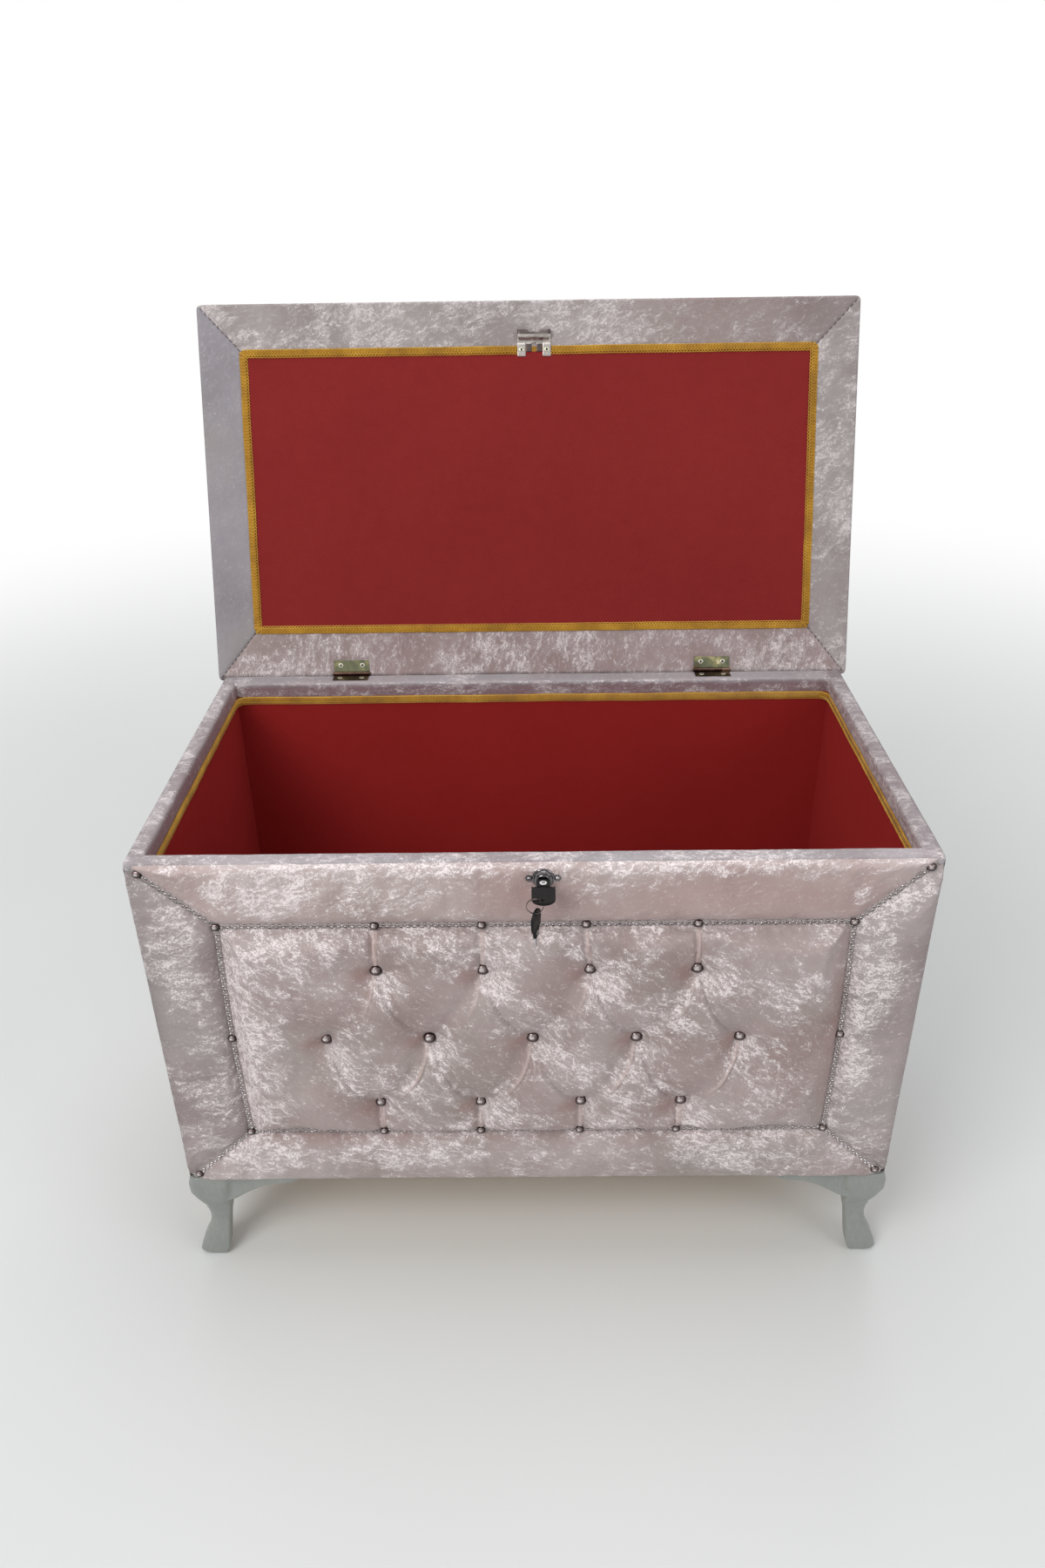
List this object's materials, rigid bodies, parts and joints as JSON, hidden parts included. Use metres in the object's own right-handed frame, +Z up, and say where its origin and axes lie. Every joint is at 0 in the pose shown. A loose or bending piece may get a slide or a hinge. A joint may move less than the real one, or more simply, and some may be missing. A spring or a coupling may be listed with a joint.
{
  "type": "upholstered storage chest",
  "caption": "Velvet-covered storage chest on cabriole feet: buttoned front with bead trim, felt-lined box, hinged lid standing open, key in the lock.",
  "frame": {"origin": "on the floor, at the middle of the space the chest takes up with its lid standing open", "axes": "+X to the right seen from the front, +Y from the front to the back, +Z up"},
  "size_m": [0.9, 0.7502, 1.1025],
  "materials": {
    "board": "plain",
    "velvet": "matte",
    "lining": "matte",
    "braid": "satin",
    "bead": "polished",
    "nail": "polished",
    "foot": "satin",
    "zinc": "satin",
    "steel": "satin",
    "dark_chrome": "polished",
    "key_plastic": "satin"
  },
  "bodies": {
    "chest": {"back_board": "board", "front_board": "board", "left_board": "board", "right_board": "board", "floor_board": "board", "back_cover": "velvet", "left_cover": "velvet", "right_cover": "velvet", "rim_wrap": "velvet", "border_pad_top": "velvet", "border_pad_bottom": "velvet", "border_pad_left": "velvet", "border_pad_right": "velvet", "tufted_panel_pad": "velvet", "back_lining": "lining", "front_lining": "lining", "left_lining": "lining", "right_lining": "lining", "floor_lining": "lining", "rim_braid": "braid", "bead_trim": "bead", "trim_nails": "nail", "tuft_buttons": "nail", "foot_front_left": "foot", "foot_front_right": "foot", "foot_back_left": "foot", "foot_back_right": "foot", "foot_screws": "steel", "hinge_rim_leaf_left": "zinc", "hinge_rim_leaf_right": "zinc", "hinge_pins": "zinc", "rim_leaf_screws": "steel", "lock_case": "steel", "lock_case_screws": "steel", "lock_rosette": "dark_chrome", "rosette_pins": "dark_chrome", "lock_cylinder": "dark_chrome"},
    "lid": {"lid_board": "board", "lid_cover": "velvet", "lid_facing_back": "velvet", "lid_facing_front": "velvet", "lid_facing_left": "velvet", "lid_facing_right": "velvet", "lid_lining": "lining", "lid_braid": "braid", "hinge_lid_leaf_left": "zinc", "hinge_lid_leaf_right": "zinc", "lid_leaf_screws": "steel", "strike_plate": "steel", "strike_screws": "steel"},
    "bolt": {"lock_bolt": "steel"},
    "plug": {"lock_plug": "dark_chrome"},
    "key": {"key_head": "key_plastic", "key_eyelet": "steel", "key_blade": "steel"},
    "split_ring": {"key_ring": "steel"},
    "spare_key": {"spare_key_head": "key_plastic", "spare_key_eyelet": "steel", "spare_key_blade": "steel"}
  },
  "joints": [
    {"name": "lid_hinge", "type": "hinge", "parent": "chest", "child": "lid", "pos_m": [0, 0.17842, 0.6273], "axis": [1, 0, 0], "range_deg": [0, 108.4]},
    {"name": "plug_turn", "type": "hinge", "parent": "chest", "child": "plug", "pos_m": [0.011, -0.3127, 0.609], "axis": [0, 1, 0], "range_deg": [0, 90]},
    {"name": "bolt_slide", "type": "slide", "parent": "chest", "child": "bolt", "axis": [1, 0, 0], "range_m": [0, 0.006]},
    {"name": "key_pull", "type": "slide", "parent": "plug", "child": "key", "axis": [0, -1, 0], "range_m": [0, 0.025]},
    {"name": "ring_swing", "type": "hinge", "parent": "key", "child": "split_ring", "pos_m": [0.0087, -0.365, 0.609], "axis": [0, 0, 1], "range_deg": [-20, 60]},
    {"name": "spare_swing", "type": "hinge", "parent": "split_ring", "child": "spare_key", "pos_m": [0.002, -0.365, 0.5927], "axis": [-0.9272, 0.3746, 0], "range_deg": [-20, 20]}
  ],
  "couplings": [
    {"joint": "bolt_slide", "follows": "plug_turn", "m_per_rad": 0.0038197}
  ]
}
